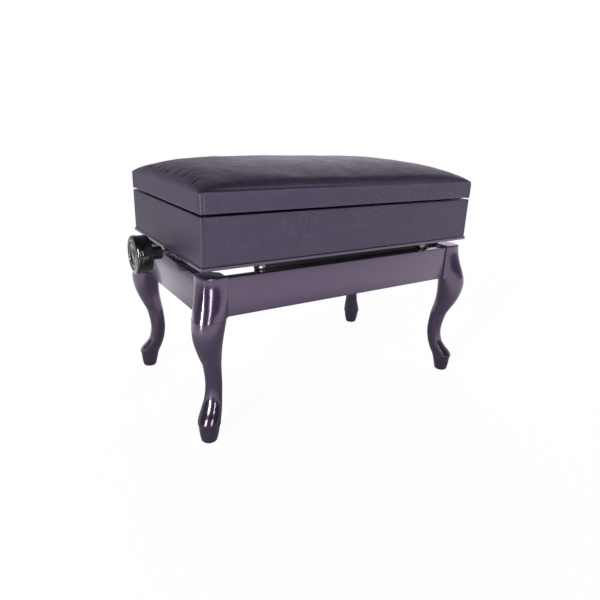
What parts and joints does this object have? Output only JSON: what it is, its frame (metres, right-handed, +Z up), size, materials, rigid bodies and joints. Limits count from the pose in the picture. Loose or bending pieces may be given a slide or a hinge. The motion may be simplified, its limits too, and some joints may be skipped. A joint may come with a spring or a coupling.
{
  "type": "adjustable piano bench",
  "caption": "Rectangular padded bench with a hinged lid over a shallow storage box, a screw-driven scissor height lift with end knobs, and cabriole legs.",
  "frame": {"origin": "on the floor, at the middle of the bench's plan", "axes": "+X along the bench's length to the sitter's right, +Y towards the back (the lid's hinge), +Z up"},
  "size_m": [0.774, 0.424, 0.506],
  "materials": {
    "lacquer": "gloss",
    "inner_wood": "sawn",
    "vinyl": "fine grain",
    "foam": "open cell",
    "felt": "matte",
    "steel": "zinc plated",
    "black_steel": "satin",
    "brass": "plated",
    "knob": "gloss",
    "glide": "matte"
  },
  "bodies": {
    "base": {"leg_front_left": "lacquer", "leg_front_right": "lacquer", "leg_rear_left": "lacquer", "leg_rear_right": "lacquer", "apron_front": "lacquer", "apron_rear": "lacquer", "apron_left": "lacquer", "apron_right": "lacquer", "corner_blocks": "inner_wood", "leg_bolts": "steel", "leg_nuts": "steel", "foot_glides": "glide", "rail_low_front": "black_steel", "rail_low_rear": "black_steel", "rail_low_screws": "steel"},
    "seat_box": {"base_board": "lacquer", "box_front": "inner_wood", "box_rear": "inner_wood", "box_left": "inner_wood", "box_right": "inner_wood", "box_cover": "vinyl", "box_liner": "felt", "rail_up_front": "black_steel", "rail_up_rear": "black_steel", "rail_up_screws": "steel", "screw_bearings": "steel", "stay_track_left": "steel", "stay_track_right": "steel", "hinge_lower": "brass", "hinge_pin": "brass", "hinge_lower_screws": "brass"},
    "lid": {"lid_board": "inner_wood", "lid_rail_front": "inner_wood", "lid_rail_rear": "inner_wood", "lid_rail_left": "inner_wood", "lid_rail_right": "inner_wood", "foam_pad": "foam", "cushion": "vinyl", "lid_cover": "vinyl", "dust_cloth": "felt", "hinge_upper": "brass", "hinge_upper_screws": "brass", "stay_bracket_left": "steel", "stay_bracket_right": "steel"},
    "arms_a": {"arm_a_front": "black_steel", "arm_a_rear": "black_steel", "pins_a": "steel"},
    "arms_b": {"arm_b_front": "black_steel", "arm_b_rear": "black_steel", "pins_b": "steel"},
    "drive_bar": {"drive_bar": "steel"},
    "screw": {"lead_screw": "steel", "screw_collars": "steel", "knob_left": "knob", "knob_right": "knob"},
    "stay_left": {"stay_arm_left": "steel"},
    "stay_right": {"stay_arm_right": "steel"}
  },
  "joints": [
    {"name": "seat_lift", "type": "slide", "parent": "base", "child": "seat_box", "axis": [0, 0, 1], "range_m": [0, 0.085]},
    {"name": "arm_a_turn", "type": "hinge", "parent": "base", "child": "arms_a", "pos_m": [-0.19503, 0, 0.291], "axis": [0, -1, 0], "range_deg": [0, 12]},
    {"name": "arm_b_turn", "type": "hinge", "parent": "seat_box", "child": "arms_b", "pos_m": [-0.19503, 0, 0.321], "axis": [0, 1, 0], "range_deg": [0, 12]},
    {"name": "drive_bar_slide", "type": "slide", "parent": "seat_box", "child": "drive_bar", "axis": [-1, 0, 0], "range_m": [0, 0.014]},
    {"name": "knob_turn", "type": "hinge", "parent": "seat_box", "child": "screw", "pos_m": [0, 0, 0.327], "axis": [1, 0, 0], "range_deg": [0, 3300]},
    {"name": "lid_hinge", "type": "hinge", "parent": "seat_box", "child": "lid", "pos_m": [0, 0.1983, 0.429], "axis": [-1, 0, 0], "range_deg": [0, 69]},
    {"name": "stay_left_turn", "type": "hinge", "parent": "lid", "child": "stay_left", "pos_m": [-0.305, 0.05881, 0.417], "axis": [-1, 0, 0], "range_deg": [-138, 0]},
    {"name": "stay_right_turn", "type": "hinge", "parent": "lid", "child": "stay_right", "pos_m": [0.305, 0.05881, 0.417], "axis": [-1, 0, 0], "range_deg": [-138, 0]}
  ],
  "couplings": [
    {"joint": "arm_a_turn", "follows": "seat_lift", "rad_per_m": 2.4391},
    {"joint": "arm_b_turn", "follows": "seat_lift", "rad_per_m": 2.4391},
    {"joint": "drive_bar_slide", "follows": "seat_lift", "ratio": 0.1596},
    {"joint": "knob_turn", "follows": "seat_lift", "rad_per_m": 668.53},
    {"joint": "stay_left_turn", "follows": "lid_hinge", "ratio": -2},
    {"joint": "stay_right_turn", "follows": "lid_hinge", "ratio": -2}
  ]
}
